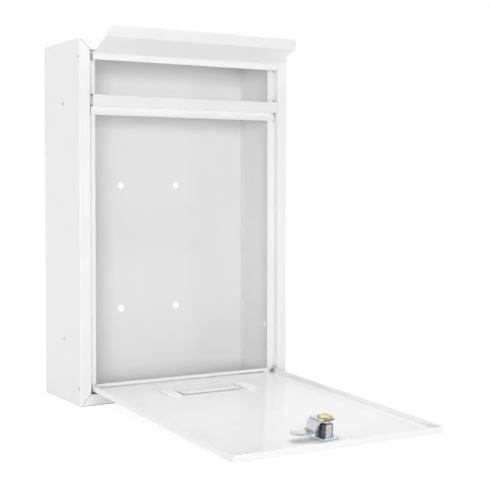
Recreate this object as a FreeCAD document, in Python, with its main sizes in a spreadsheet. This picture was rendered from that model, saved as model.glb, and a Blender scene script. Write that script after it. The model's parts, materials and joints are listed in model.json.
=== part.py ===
import FreeCAD, Part
import os
import re

# Wall letter box of folded sheet steel, in millimetres.
# +X is to the right seen from the front, +Y points to the wall and +Z is up.
# The origin is the middle of the wall screw holes, on the back face.

SIZES = {
    # Folded steel body
    "box_width": 215.0,
    "box_height": 324.0,
    "box_depth": 84.0,
    "sheet_gauge": 0.8,
    "bend_radius": 1.2,
    "fold_radius": 0.7,
    "flange_width": 10.2,
    "rebate_depth": 6.5,
    "lip_width": 7.2,
    "mitre_gap": 0.4,
    "mitre_start": 2.4,
    "back_edge_depth": 5.0,
    "weld_gap": 0.02,
    # How far a cutter reaches past the face that it cuts
    "cut_margin": 1.0,
    # Holes for the wall screws, and through the sides
    "wall_hole_radius": 3.25,
    "wall_spacing_across": 60.0,
    "wall_spacing_up": 120.0,
    "wall_centre_height": 135.0,
    "side_hole_radius": 1.9,
    "side_hole_setback": 38.7,
    "side_hole_inset": 56.0,
    # Slot in the lower lip, behind the door's lower edge
    "sill_slot_inset": 3.6,
    "sill_slot_rise": 1.0,
    "sill_slot_height": 3.5,
    # Crossbar between the letter slot and the door
    "bar_drop": 59.2,
    "bar_face": 10.4,
    "bar_lip": 7.4,
    "bar_gap_left": 2.7,
    "bar_gap_right": 0.3,
    # Pivot pins
    "pivot_depth": 3.2,
    "pin_radius": 1.5,
    "pin_fit": 0.05,
    "pin_seat_fit": 0.02,
    "pin_shoulder_radius": 2.3,
    "pin_head_radius": 2.05,
    "pin_head_length": 0.9,
    "pin_play": 0.1,
    "ear_gap": 0.4,
    # Door
    "door_pivot_rise": 5.6,
    "door_gap": 1.6,
    "door_top_gap": 1.0,
    "door_rim_gap": 0.5,
    "door_open_angle": 92.8,
    "door_stop_gap": 0.04,
    # Insert flap
    "flap_pivot_drop": 6.3,
    "flap_gap_left": 2.4,
    "flap_gap_right": 0.8,
    "flap_face_offset": 1.5,
    "flap_fold_drop": 5.2,
    "flap_plate_length": 32.0,
    "flap_lip_length": 10.2,
    "flap_lip_angle": 36.0,
    "flap_strip_length": 5.3,
    "flap_strip_angle": 31.0,
    "flap_raise_angle": 111.2,
    "flap_corner_radius": 5.0,
    # Name holder inside the door
    "name_offset": -1.3,
    "name_height": 44.0,
    "name_length": 88.0,
    "name_width": 25.0,
    "name_thickness": 1.2,
    "name_pane_length": 58.0,
    "name_pane_width": 14.0,
    "name_pane_gap": 0.2,
    "name_pane_lap": 0.3,
    "name_rib_length": 51.0,
    "name_rib_width": 1.6,
    "name_rib_height": 0.6,
    "name_rib_rise": 6.5,
    "name_pad_length": 11.0,
    "name_pad_height": 0.3,
    "card_length": 56.0,
    "card_width": 12.0,
    "card_thickness": 0.4,
    "card_gap": 0.1,
    # Lock
    "lock_offset": -1.0,
    "lock_setback": 24.8,
    "barrel_radius": 6.9,
    "barrel_flats": 12.0,
    "barrel_length": 12.0,
    "barrel_hole_gap": 0.1,
    "collar_radius": 9.0,
    "collar_height": 1.3,
    "collar_rim_height": 0.7,
    "collar_bevel": 1.05,
    "nut_side": 16.8,
    "nut_wall": 1.0,
    "nut_height": 2.2,
    "nut_turn": 10.0,
    "nut_fit": 0.05,
    "plug_radius": 4.0,
    "plug_fit": 0.06,
    "plug_head_radius": 5.2,
    "plug_head_height": 1.1,
    "plug_neck_length": 2.9,
    "tail_side": 5.4,
    "tail_fit": 0.05,
    "tail_recess": 0.2,
    "keyway_height": 5.4,
    "keyway_width": 1.5,
    "keyway_end": 9.0,
    # Cam and its screw
    "cam_gauge": 1.6,
    "cam_width": 15.0,
    "cam_shoulder": 9.1,
    "cam_foot": 13.1,
    "cam_foot_gap": 0.4,
    "cam_reach": 30.0,
    "tongue_width": 13.0,
    "screw_head_radius": 5.8,
    "screw_rim_height": 0.9,
    "screw_dome_height": 1.3,
    "screw_dome_radius": 3.6,
    "screw_recess_width": 1.2,
    "screw_recess_length": 5.6,
    "screw_recess_depth": 1.5,
    "screw_radius": 1.9,
    "screw_length": 6.0,
    "screw_fit": 0.05,
    # Wafers and springs in the plug
    "wafer_first": 1.5,
    "wafer_pitch": 2.0,
    "wafer_gauge": 1.0,
    "wafer_width": 4.0,
    "wafer_inset": 0.15,
    "wafer_fit": 0.05,
    "wafer_travel": 0.6,
    "wafer_window_height": 5.0,
    "wafer_window_width": 1.8,
    "lug_start": 0.3,
    "lug_length": 1.0,
    "lug_width": 1.0,
    "spring_end": 2.2,
    "spring_gap": 0.01,
    "spring_wire_radius": 0.09,
    "spring_turns": 5.0,
}

# Places that follow from the sizes above
DERIVED = {
    "half_width": "box_width / 2",
    "floor_level": "-wall_centre_height",
    "roof_level": "box_height - wall_centre_height",
    "front": "-box_depth",
    "lip_face": "-box_depth + rebate_depth",
    "pivot_line": "-box_depth + pivot_depth",
    "rebate_half": "box_width / 2 - flange_width",
    "rebate_low": "floor_level + flange_width",
    "rebate_high": "roof_level - flange_width",
    "door_pivot_level": "rebate_low + door_pivot_rise",
    "flap_pivot_level": "rebate_high - flap_pivot_drop",
    "bar_level": "roof_level - bar_drop",
    "ear_radius": "rebate_depth - pivot_depth - ear_gap",
    "sill_slot_half": "rebate_half - lip_width - sill_slot_inset",
    "sill_slot_level": "rebate_low + sill_slot_rise",
    "door_half": "rebate_half - door_gap",
    "door_face": "-pivot_depth",
    "door_inside": "-pivot_depth + sheet_gauge",
    "door_top": "bar_level - door_top_gap - door_pivot_level",
    "door_rim": "rebate_depth - sheet_gauge - door_rim_gap",
    "door_tail": "(rebate_depth - pivot_depth - door_stop_gap + pivot_depth * cos(door_open_angle))"
                 " / sin(door_open_angle)",
    "flap_left": "-rebate_half + flap_gap_left",
    "flap_length": "2 * rebate_half - flap_gap_left - flap_gap_right",
    "flap_bend_drop": "flap_fold_drop + flap_plate_length",
    "flap_lip_straight": "flap_lip_length - flap_corner_radius",
    "strip_foot": "flap_face_offset * cos(flap_strip_angle) + flap_fold_drop * sin(flap_strip_angle)",
    "strip_distance": "flap_fold_drop * cos(flap_strip_angle) - flap_face_offset * sin(flap_strip_angle)",
    "name_left": "name_offset - name_length / 2",
    "name_low": "name_height - name_width / 2",
    "name_top": "door_inside + name_thickness",
    "lock_height": "door_top - lock_setback",
    "barrel_top": "door_inside + barrel_length",
    "cam_low": "barrel_top + plug_neck_length",
    "cam_top": "cam_low + cam_gauge",
    "foot_low": "rebate_depth - pivot_depth + cam_foot_gap",
    "foot_top": "foot_low + cam_gauge",
    "cam_drop": "cam_low - foot_low",
    "cam_run": "cam_foot - cam_shoulder",
    "wafer_radius": "plug_radius - wafer_inset",
    "groove_reach": "wafer_radius + wafer_travel + wafer_fit",
    "tail_end": "cam_top - tail_recess",
    "spring_radius": "lug_width / 2 - spring_wire_radius - spring_gap",
}

TURN_X = FreeCAD.Rotation(FreeCAD.Vector(0, 1, 0), 90)
TURN_Y = FreeCAD.Rotation(FreeCAD.Vector(1, 0, 0), -90)
SAME_PLACE = 0.01
AXIS_TURN = {"x": TURN_X, "y": TURN_Y, "z": FreeCAD.Rotation()}

doc = FreeCAD.newDocument("letter_box")
sheet = doc.addObject("Spreadsheet::Sheet", "sizes")
for row, (alias, value) in enumerate(SIZES.items(), start=1):
    sheet.set(f"A{row}", alias)
    sheet.set(f"B{row}", str(value))
    sheet.setAlias(f"B{row}", alias)
doc.recompute()

sub_parts = []


def expand(text):
    """Write an expression of named sizes as an expression of sheet cells."""
    def replace(match):
        word = match.group(0)
        if word in DERIVED:
            return f"({expand(DERIVED[word])})"
        return f"sizes.{word}" if word in SIZES else word
    return re.sub(r"[a-z_]+", replace, text)


def bind(item, **properties):
    for name, text in properties.items():
        item.setExpression(name, expand(text))


def put(item, corner, turn=None):
    """Place an object at a corner given by three expressions, with an optional (axis, angle) turn."""
    if turn:
        axis, angle = turn
        item.Placement = FreeCAD.Placement(FreeCAD.Vector(), FreeCAD.Rotation(axis, 90))
        item.setExpression("Placement.Rotation.Angle", expand(angle))
    for letter, text in zip("xyz", corner):
        item.setExpression(f"Placement.Base.{letter}", expand(text))
    return item


def box(name, corner, size, turn=None):
    item = doc.addObject("Part::Box", name)
    bind(item, Length=size[0], Width=size[1], Height=size[2])
    return put(item, corner, turn)


def block(name, low, high):
    """A box between two corners."""
    size = [f"({b}) - ({a})" for a, b in zip(low, high)]
    return box(name, low, size)


def cylinder(name, axis, base, radius, length):
    item = doc.addObject("Part::Cylinder", name)
    item.Placement = FreeCAD.Placement(FreeCAD.Vector(), AXIS_TURN[axis])
    bind(item, Radius=radius, Height=length)
    return put(item, base)


def cone(name, base, radii, length):
    """A cone along +Y."""
    item = doc.addObject("Part::Cone", name)
    item.Placement = FreeCAD.Placement(FreeCAD.Vector(), TURN_Y)
    bind(item, Radius1=radii[0], Radius2=radii[1], Height=length)
    return put(item, base)


def fuse(name, items):
    item = doc.addObject("Part::MultiFuse", name)
    item.Shapes = items
    item.Refine = True
    return item


def cut(name, base, tools):
    item = doc.addObject("Part::Cut", name)
    item.Base = base
    item.Tool = tools[0] if len(tools) == 1 else fuse(f"{name}_tools", tools)
    item.Refine = True
    return item


def common(name, items):
    item = doc.addObject("Part::MultiCommon", name)
    item.Shapes = items
    item.Refine = True
    return item


def rounded(name, base, radius, wanted):
    """Round the edges of a finished shape that a test picks by their middle point and direction."""
    doc.recompute()
    picks = []
    for number, edge in enumerate(base.Shape.Edges, start=1):
        ends = [vertex.Point for vertex in edge.Vertexes]
        if len(ends) == 2 and wanted((ends[0] + ends[1]) / 2, ends[1] - ends[0]):
            picks.append((number, radius, radius))
    item = doc.addObject("Part::Fillet", name)
    item.Base = base
    item.Edges = picks
    return item


def finish(item, label):
    item.Label = label
    sub_parts.append(item)
    return item


def size_of(text):
    """The present value of an expression of named sizes."""
    return float(sheet.evalExpression(expand(text).replace("sizes.", "")))


def near(a, b):
    return abs(a - b) < SAME_PLACE


def mirrored(side, text):
    """The same place on the right (+) or on the left (-)."""
    return text if side == "+" else f"-({text})"


def frame_ring(name, outer_half, outer_low, outer_high, inner_half, inner_low, inner_high, start, end):
    """A rectangular ring round the front opening, from one depth to another."""
    outside = block(f"{name}_outside", (f"-({outer_half})", start, outer_low), (outer_half, end, outer_high))
    hole = block(f"{name}_hole", (f"-({inner_half})", f"{start} - cut_margin", inner_low),
                 (inner_half, f"{end} + cut_margin", inner_high))
    return cut(name, outside, [hole])


def build_shell():
    """Sides, top and bottom in one wrap, with the front flange, the return behind it and the inner lip."""
    walls = frame_ring("walls", "half_width", "floor_level", "roof_level",
                       "half_width - sheet_gauge", "floor_level + sheet_gauge", "roof_level - sheet_gauge",
                       "front", "0")
    flange = frame_ring("flange", "half_width", "floor_level", "roof_level",
                        "rebate_half", "rebate_low", "rebate_high", "front", "front + sheet_gauge")
    returns = frame_ring("returns", "rebate_half + sheet_gauge", "rebate_low - sheet_gauge",
                         "rebate_high + sheet_gauge", "rebate_half", "rebate_low", "rebate_high",
                         "front", "lip_face + sheet_gauge")
    lip = frame_ring("lip", "rebate_half + sheet_gauge", "rebate_low - sheet_gauge",
                     "rebate_high + sheet_gauge", "rebate_half - lip_width", "rebate_low + lip_width",
                     "rebate_high - lip_width", "lip_face", "lip_face + sheet_gauge")
    folded = fuse("folded_shell", [walls, flange, returns, lip])
    half = SIZES["box_width"] / 2
    low = -SIZES["wall_centre_height"]
    high = low + SIZES["box_height"]
    front = -SIZES["box_depth"]

    def outer_bend(middle, direction):
        on_side = near(abs(middle.x), half)
        on_end = near(middle.z, low) or near(middle.z, high)
        along_depth = near(abs(direction.y), direction.Length)
        return (on_side and on_end and along_depth) or (near(middle.y, front) and (on_side or on_end))

    def rebate_bend(middle, direction):
        on_side = near(abs(middle.x), half - SIZES["flange_width"])
        on_end = near(middle.z, low + SIZES["flange_width"]) or near(middle.z, high - SIZES["flange_width"])
        return near(middle.y, front) and (on_side or on_end)

    eased = rounded("eased_shell", folded, SIZES["fold_radius"], rebate_bend)
    bent = rounded("bent_shell", eased, SIZES["bend_radius"], outer_bend)
    tools = []
    for side in "+-":
        tools += shell_side_holes(side)
        for end in "+-":
            tools.append(mitre_slit(side, end))
    tools.append(block("sill_slot", ("-sill_slot_half", "lip_face - sheet_gauge", "sill_slot_level"),
                       ("sill_slot_half", "lip_face + 2 * sheet_gauge",
                        "sill_slot_level + sill_slot_height")))
    finish(cut("shell", bent, tools), "body_shell")


def shell_side_holes(side):
    """Through holes of one side: two fixing holes, and the seats of the door and flap pins."""
    name = "right" if side == "+" else "left"
    start = "half_width - 2 * sheet_gauge" if side == "+" else "-half_width - sheet_gauge"
    pin_start = "rebate_half - sheet_gauge" if side == "+" else "-half_width - sheet_gauge"
    holes = []
    for end, level in (("low", "floor_level + side_hole_inset"), ("high", "roof_level - side_hole_inset")):
        holes.append(cylinder(f"side_hole_{end}_{name}", "x", (start, "front + side_hole_setback", level),
                              "side_hole_radius", "3 * sheet_gauge"))
    for level in ("door_pivot_level", "flap_pivot_level"):
        holes.append(cylinder(f"{level}_{name}", "x", (pin_start, "pivot_line", level),
                              "pin_radius + pin_seat_fit", "flange_width + 2 * sheet_gauge"))
    return holes


def mitre_slit(side, end):
    """The open seam across the flange, return and lip at one corner."""
    angle = {"++": "225", "+-": "135", "-+": "315", "--": "45"}[side + end]
    corner_level = "roof_level" if end == "+" else "floor_level"
    name = f"mitre_{'right' if side == '+' else 'left'}_{'top' if end == '+' else 'bottom'}"
    start = (f"{mirrored(side, 'half_width')} + mitre_start * cos({angle}) + mitre_gap / 2 * sin({angle})",
             "front - sheet_gauge",
             f"{corner_level} + mitre_start * sin({angle}) - mitre_gap / 2 * cos({angle})")
    size = ("(flange_width + lip_width) * sqrt(2) - mitre_start + mitre_gap",
            "rebate_depth + 3 * sheet_gauge",
            "mitre_gap")
    return box(name, start, size, (FreeCAD.Vector(0, -1, 0), angle))


def build_back():
    """The back, a sheet with four edges turned forward inside the wrap."""
    half = "half_width - sheet_gauge - weld_gap"
    low = "floor_level + sheet_gauge + weld_gap"
    high = "roof_level - sheet_gauge - weld_gap"
    tray = block("back_tray", (f"-({half})", "-back_edge_depth", low), (half, "0", high))
    inside = block("back_inside",
                   (f"-({half} - sheet_gauge)", "-back_edge_depth - cut_margin", f"{low} + sheet_gauge"),
                   (f"{half} - sheet_gauge", "-sheet_gauge", f"{high} - sheet_gauge"))
    tools = [inside]
    for side in "+-":
        for end in "+-":
            tools.append(cylinder(f"wall_hole_{len(tools)}", "y",
                                  (mirrored(side, "wall_spacing_across / 2"), "-2 * sheet_gauge",
                                   mirrored(end, "wall_spacing_up / 2")),
                                  "wall_hole_radius", "3 * sheet_gauge"))
    finish(cut("back", tray, tools), "back_panel")


def build_crossbar():
    """Folded bar: a face between two returns, with a lip that hangs behind the door's upper rim."""
    left = "-rebate_half + bar_gap_left"
    right = "rebate_half - bar_gap_right"
    top = "bar_level + bar_face"
    face = block("bar_front", (left, "front", "bar_level"), (right, "front + sheet_gauge", top))
    lower = block("bar_lower_return", (left, "front", "bar_level"),
                  (right, "lip_face", "bar_level + sheet_gauge"))
    upper = block("bar_upper_return", (left, "front", f"{top} - sheet_gauge"), (right, "lip_face", top))
    lip = block("bar_hanging_lip", (left, "lip_face - sheet_gauge", "bar_level - bar_lip"),
                (right, "lip_face", "bar_level + sheet_gauge"))
    folded = fuse("bar_folded", [face, lower, upper, lip])
    front = -SIZES["box_depth"]

    def front_bend(middle, direction):
        return near(middle.y, front) and near(abs(direction.x), direction.Length)

    bent = rounded("bar_bent", folded, SIZES["fold_radius"], front_bend)
    finish(bent, "crossbar")


def build_pin(label, side, level, gap):
    """A shouldered pivot pin, seated in the side and the return, with a head inside the ear."""
    reach = f"flange_width + {gap} + sheet_gauge + pin_play"
    shank = cylinder(f"{label}_shank", "x", ("0", "0", "0"), "pin_radius", f"{reach} + pin_head_length")
    shoulder = cylinder(f"{label}_shoulder", "x", ("flange_width + pin_seat_fit", "0", "0"),
                        "pin_shoulder_radius", f"{gap} - pin_seat_fit - pin_play")
    head = cylinder(f"{label}_head", "x", (reach, "0", "0"), "pin_head_radius", "pin_head_length")
    pin = fuse(label, [shank, shoulder, head])
    turn = (FreeCAD.Vector(0, 0, 1), "0" if side == "-" else "180")
    finish(put(pin, (mirrored(side, "half_width"), "pivot_line", level), turn), label)


def build_flap():
    """One folded sheet: hinge strip with ears, plate over the slot, and a kicked-out lip.

    It is drawn about its pivot with the plate hanging straight down, then raised.
    """
    left = "flap_left"
    plate = box("flap_plate", (left, "-flap_face_offset - sheet_gauge", "-flap_bend_drop"),
                ("flap_length", "sheet_gauge", "flap_plate_length"))
    fold = cylinder("flap_fold", "x", (left, "-flap_face_offset", "-flap_fold_drop"),
                    "sheet_gauge", "flap_length")
    strip = put(fuse("flap_strip", [
        box("flap_strip_sheet", (left, "0", "0"), ("flap_length", "flap_strip_length", "sheet_gauge")),
        flap_ear("left", left),
        flap_ear("right", f"{left} + flap_length - sheet_gauge"),
    ]), ("0", "-flap_face_offset", "-flap_fold_drop"), (FreeCAD.Vector(1, 0, 0), "flap_strip_angle"))
    pieces = [plate, fold, strip, flap_lip(left)]
    holes = [cylinder("flap_pivot_hole", "x", (f"{left} - cut_margin", "0", "0"), "pin_radius + pin_fit",
                      "flap_length + 2 * cut_margin")]
    flap = cut("flap_sheet", fuse("flap_folded", pieces), holes)
    put(flap, ("0", "pivot_line", "flap_pivot_level"), (FreeCAD.Vector(-1, 0, 0), "flap_raise_angle"))
    finish(flap, "flap")


def flap_ear(name, start):
    """A round ear at the end of the hinge strip, in the strip's own directions."""
    disc = cylinder(f"flap_ear_{name}", "x", (start, "strip_foot", "strip_distance"),
                    "ear_radius", "sheet_gauge")
    web = block(f"flap_web_{name}", (start, "strip_foot - ear_radius", "0"),
                (f"{start} + sheet_gauge", "flap_strip_length", "strip_distance"))
    return fuse(f"flap_ear_{name}_whole", [disc, web])


def flap_lip(left):
    """The lip below the plate, with two rounded corners, kicked out to the front."""
    whole = box("lip_root", (left, "-sheet_gauge", "-flap_lip_straight"),
                ("flap_length", "sheet_gauge", "flap_lip_straight"))
    tip = box("lip_tip", (f"{left} + flap_corner_radius", "-sheet_gauge", "-flap_lip_length"),
              ("flap_length - 2 * flap_corner_radius", "sheet_gauge", "flap_lip_length"))
    corners = []
    for name, place in (("left", f"{left} + flap_corner_radius"),
                        ("right", f"{left} + flap_length - flap_corner_radius")):
        corners.append(cylinder(f"lip_corner_{name}", "y", (place, "-sheet_gauge", "-flap_lip_straight"),
                                "flap_corner_radius", "sheet_gauge"))
    bend = cylinder("lip_bend", "x", (left, "-sheet_gauge", "0"), "sheet_gauge", "flap_length")
    wedge = common("lip_bend_wedge", [bend, box("lip_bend_limit", (left, "-2 * sheet_gauge", "-sheet_gauge"),
                                                ("flap_length", "2 * sheet_gauge", "2 * sheet_gauge"))])
    lip = fuse("flap_lip", [whole, tip, wedge] + corners)
    return put(lip, ("0", "-flap_face_offset", "-flap_bend_drop"),
               (FreeCAD.Vector(-1, 0, 0), "flap_lip_angle"))


def hang_on_door(item, label):
    """Turn a piece that is drawn about the shut door's pivot to the open door."""
    put(item, ("0", "pivot_line", "door_pivot_level"), (FreeCAD.Vector(1, 0, 0), "door_open_angle"))
    return finish(item, label)


def build_door():
    """Tray door: a face with three rims turned back, ears round the pins and a tail that meets the lip."""
    face = block("door_front", ("-door_half", "door_face", "-door_tail"),
                 ("door_half", "door_inside", "door_top"))
    top_rim = block("door_top_rim", ("-door_half", "door_face", "door_top - sheet_gauge"),
                    ("door_half", "door_face + door_rim", "door_top"))
    pieces = [face, top_rim]
    for name, start in (("left", "-door_half"), ("right", "door_half - sheet_gauge")):
        pieces.append(block(f"door_rim_{name}", (start, "door_face", "0"),
                            (f"{start} + sheet_gauge", "door_face + door_rim", "door_top")))
        pieces.append(cylinder(f"door_ear_{name}", "x", (start, "0", "0"), "ear_radius", "sheet_gauge"))
    folded = fuse("door_folded", pieces)
    half = size_of("door_half")
    top = size_of("door_top")
    face_depth = size_of("door_face")

    def outer_bend(middle, direction):
        on_face = near(middle.y, face_depth)
        return on_face and (near(abs(middle.x), half) or near(middle.z, top))

    bent = rounded("door_bent", folded, SIZES["fold_radius"], outer_bend)
    lock_hole = common("lock_hole", [
        cylinder("lock_hole_round", "y", ("lock_offset", "door_face - cut_margin", "lock_height"),
                 "barrel_radius + barrel_hole_gap", "sheet_gauge + 2 * cut_margin"),
        box("lock_hole_flats", ("lock_offset - collar_radius", "door_face - cut_margin",
                                "lock_height - barrel_flats / 2 - barrel_hole_gap"),
            ("2 * collar_radius", "sheet_gauge + 2 * cut_margin", "barrel_flats + 2 * barrel_hole_gap")),
    ])
    pane = box("name_opening", ("name_offset - name_pane_length / 2 - name_pane_gap",
                                "door_face - cut_margin",
                                "name_height - name_pane_width / 2 - name_pane_gap"),
               ("name_pane_length + 2 * name_pane_gap", "sheet_gauge + 2 * cut_margin",
                "name_pane_width + 2 * name_pane_gap"))
    pivot = cylinder("door_pivot_hole", "x", ("-door_half - cut_margin", "0", "0"), "pin_radius + pin_fit",
                     "2 * door_half + 2 * cut_margin")
    hang_on_door(cut("door", bent, [lock_hole, pane, pivot]), "door_panel")


def build_name_holder():
    """Clear flat moulding: a pane in the door's opening, two end pads, a rib and the card's pocket."""
    pieces = [box("name_plate", ("name_left", "door_inside", "name_low"),
                  ("name_length", "name_thickness", "name_width"))]
    for name, start in (("left", "name_left"), ("right", "name_left + name_length - name_pad_length")):
        pieces.append(box(f"name_pad_{name}", (start, "name_top", "name_low"),
                          ("name_pad_length", "name_pad_height", "name_width")))
    pieces.append(box("name_pane", ("name_offset - name_pane_length / 2", "door_face",
                                    "name_height - name_pane_width / 2"),
                      ("name_pane_length", "sheet_gauge + name_pane_lap", "name_pane_width")))
    pieces.append(box("name_rib", ("name_offset - name_rib_length / 2", "name_top",
                                   "name_height + name_rib_rise - name_rib_width / 2"),
                      ("name_rib_length", "name_rib_height", "name_rib_width")))
    pocket = box("card_pocket", ("name_offset - card_length / 2 - card_gap", "door_inside",
                                 "name_height - card_width / 2 - card_gap"),
                 ("card_length + 2 * card_gap", "card_thickness + 2 * card_gap",
                  "name_width + card_width / 2 + card_gap"))
    hang_on_door(cut("holder", fuse("holder_solid", pieces), [pocket]), "name_holder")


def build_name_card():
    """The card that slides in behind the pane from above."""
    depth = "(door_inside + card_gap)"
    height = "(name_height - card_width / 2)"
    corner = ("name_offset - card_length / 2",
              f"pivot_line + {depth} * cos(door_open_angle) - {height} * sin(door_open_angle)",
              f"door_pivot_level + {depth} * sin(door_open_angle) + {height} * cos(door_open_angle)")
    card = box("card", corner, ("card_length", "card_thickness", "card_width"),
               (FreeCAD.Vector(1, 0, 0), "door_open_angle"))
    finish(card, "name_card")


def lock_cylinder(name, start, radius, length):
    return cylinder(name, "y", ("lock_offset", start, "lock_height"), radius, length)


def lock_box(name, across, along, start, length):
    """A box centred on the lock's axis, across X and along Z, from a depth."""
    return box(name, (f"lock_offset - ({across}) / 2", start, f"lock_height - ({along}) / 2"),
               (across, length, along))


def build_housing():
    """Barrel with two flats and a collar outside the door, bored for the plug and grooved for the wafers."""
    barrel = common("barrel", [
        lock_cylinder("barrel_round", "door_face", "barrel_radius", "barrel_top - door_face"),
        lock_box("barrel_sides", "2 * collar_radius", "barrel_flats", "door_face", "barrel_top - door_face"),
    ])
    rim = lock_cylinder("collar_rim", "door_face - collar_rim_height", "collar_radius", "collar_rim_height")
    dome = cone("collar_dome", ("lock_offset", "door_face - collar_height", "lock_height"),
                ("collar_radius - collar_bevel", "collar_radius"), "collar_height - collar_rim_height")
    bore = lock_cylinder("plug_bore", "door_face - collar_height - cut_margin", "plug_radius + plug_fit",
                         "collar_height + barrel_top - door_face + 2 * cut_margin")
    seat = lock_cylinder("plug_head_seat", "door_face - collar_height - cut_margin",
                         "plug_head_radius + plug_fit", "plug_head_height + cut_margin + plug_fit")
    grooves = []
    for name, across, along in (("level", "2 * groove_reach", "wafer_width + 4 * wafer_fit"),
                                ("upright", "wafer_width + 4 * wafer_fit", "2 * groove_reach")):
        grooves.append(lock_box(f"wafer_groove_{name}", across, along,
                                "door_inside + wafer_first - wafer_gauge", "3 * wafer_pitch + 2 * wafer_gauge"))
    hang_on_door(cut("housing", fuse("housing_solid", [barrel, rim, dome]), [bore, seat] + grooves),
                 "lock_housing")


def build_nut():
    """Square nut that clamps the housing to the door, turned a little from square."""
    plate = box("nut_plate", ("-nut_side / 2", "0", "-nut_side / 2"), ("nut_side", "nut_height", "nut_side"))
    core = cylinder("nut_core", "y", ("0", "0", "0"), "barrel_radius + nut_wall", "nut_height")
    turned = put(fuse("nut_turned", [plate, core]), ("lock_offset", "door_inside", "lock_height"),
                 (FreeCAD.Vector(0, 1, 0), "nut_turn"))
    hole = lock_cylinder("nut_hole", "door_inside - cut_margin", "barrel_radius + nut_fit",
                         "nut_height + 2 * cut_margin")
    hang_on_door(cut("nut", turned, [hole]), "lock_nut")


def wafer_level(number):
    return f"door_inside + wafer_first + {number} * wafer_pitch"


def build_plug():
    """Turning core: head, body with keyway and wafer slots, neck, and a square tail with the screw hole."""
    body = lock_cylinder("plug_body", "door_face - collar_height + plug_fit", "plug_radius",
                         "cam_low - door_face + collar_height - plug_fit")
    head = lock_cylinder("plug_head", "door_face - collar_height + plug_fit", "plug_head_radius",
                         "plug_head_height - plug_fit")
    tail = lock_box("plug_tail", "tail_side", "tail_side", "cam_low", "tail_end - cam_low")
    tools = [lock_box("keyway", "keyway_height", "keyway_width", "door_face - collar_height - cut_margin",
                      "keyway_end + collar_height + cut_margin"),
             lock_cylinder("screw_hole", "tail_end - screw_length", "screw_radius + screw_fit",
                           "screw_length + cut_margin")]
    for number in range(4):
        start = f"{wafer_level(number)} - wafer_fit"
        tools.append(lock_box(f"wafer_slot_{number}", "4 * plug_radius", "wafer_width + 2 * wafer_fit", start,
                              "wafer_gauge + 2 * wafer_fit"))
        tools.append(box(f"spring_pocket_{number}", ("lock_offset - spring_end - wafer_fit", start,
                                                     "lock_height"),
                         ("2 * spring_end + 2 * wafer_fit", "wafer_gauge + 2 * wafer_fit",
                          "wafer_width / 2 + lug_width + wafer_fit")))
    hang_on_door(cut("plug", fuse("plug_solid", [body, head, tail]), tools), "lock_plug")


def build_wafer(number):
    """Flat wafer with a window for the key and a side lug that its spring pushes."""
    start = wafer_level(number)
    plate = common(f"wafer_plate_{number}", [
        lock_box(f"wafer_sheet_{number}", "4 * plug_radius", "wafer_width", start, "wafer_gauge"),
        lock_cylinder(f"wafer_round_{number}", start, "wafer_radius", "wafer_gauge"),
    ])
    lug = box(f"wafer_lug_{number}", ("lock_offset + lug_start", start, "lock_height"),
              ("lug_length", "wafer_gauge", "wafer_width / 2 + lug_width"))
    window = lock_box(f"wafer_window_{number}", "wafer_window_height", "wafer_window_width",
                      f"{start} - cut_margin", "wafer_gauge + 2 * cut_margin")
    wafer = cut(f"wafer_{number}", fuse(f"wafer_solid_{number}", [plate, lug]), [window])
    hang_on_door(wafer, f"lock_wafer_{number + 1}")


def build_spring(number):
    """Fine coil between the plug's pocket and the wafer's lug."""
    span = "spring_end + lug_start - 2 * spring_wire_radius - wafer_fit"
    start = "lock_offset - spring_end + spring_wire_radius"
    middle = f"{wafer_level(number)} + wafer_gauge / 2"
    line = "lock_height + wafer_width / 2 + lug_width / 2"
    helix = doc.addObject("Part::Helix", f"spring_line_{number}")
    bind(helix, Height=span, Pitch=f"({span}) / spring_turns", Radius="spring_radius")
    put(helix, (start, middle, line), (FreeCAD.Vector(0, 1, 0), "90"))
    section = doc.addObject("Part::Circle", f"spring_section_{number}")
    bind(section, Radius="spring_wire_radius")
    section.Placement = FreeCAD.Placement(FreeCAD.Vector(), TURN_Y)
    put(section, (start, middle, f"{line} - spring_radius"))
    coil = doc.addObject("Part::Sweep", f"spring_{number}")
    coil.Sections = [section]
    coil.Spine = (helix, ["Edge1"])
    coil.Solid = True
    coil.Frenet = True
    hang_on_door(coil, f"wafer_spring_{number + 1}")


def build_cam():
    """Cranked cam: a plate on the plug's tail, a leg down towards the door, and a tongue with a round tip."""
    plate = box("cam_plate", ("lock_offset - cam_shoulder", "cam_low", "lock_height - cam_width / 2"),
                ("cam_shoulder", "cam_gauge", "cam_width"))
    nose = lock_cylinder("cam_nose", "cam_low", "cam_width / 2", "cam_gauge")
    leg_length = "sqrt(cam_run * cam_run + cam_drop * cam_drop)"
    leg = box("cam_leg", ("0", "0", "0"), (leg_length, "cam_gauge", "cam_width"))
    put(leg, ("lock_offset - cam_foot", "foot_low", "lock_height - cam_width / 2"),
        (FreeCAD.Vector(0, 0, 1), "atan2(cam_drop; cam_run)"))
    elbows = []
    for name, place, level in (("top", "cam_shoulder", "cam_low"), ("low", "cam_foot", "foot_top")):
        start = (f"lock_offset - {place}", level, "lock_height - cam_width / 2")
        elbows.append(cylinder(f"cam_elbow_{name}", "z", start, "cam_gauge", "cam_width"))
    tongue = box("cam_tongue", ("lock_offset - cam_reach + tongue_width / 2", "foot_low",
                                "lock_height - tongue_width / 2"),
                 ("cam_reach - cam_foot - tongue_width / 2", "cam_gauge", "tongue_width"))
    tip = cylinder("cam_tip", "y", ("lock_offset - cam_reach + tongue_width / 2", "foot_low", "lock_height"),
                   "tongue_width / 2", "cam_gauge")
    square_side = "tail_side + 2 * tail_fit"
    square = lock_box("cam_square", square_side, square_side, "cam_low - cut_margin",
                      "cam_gauge + 2 * cut_margin")
    cranked = fuse("cam_solid", [plate, nose, leg, tongue, tip] + elbows)
    hang_on_door(cut("cam", cranked, [square]), "lock_cam")


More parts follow.
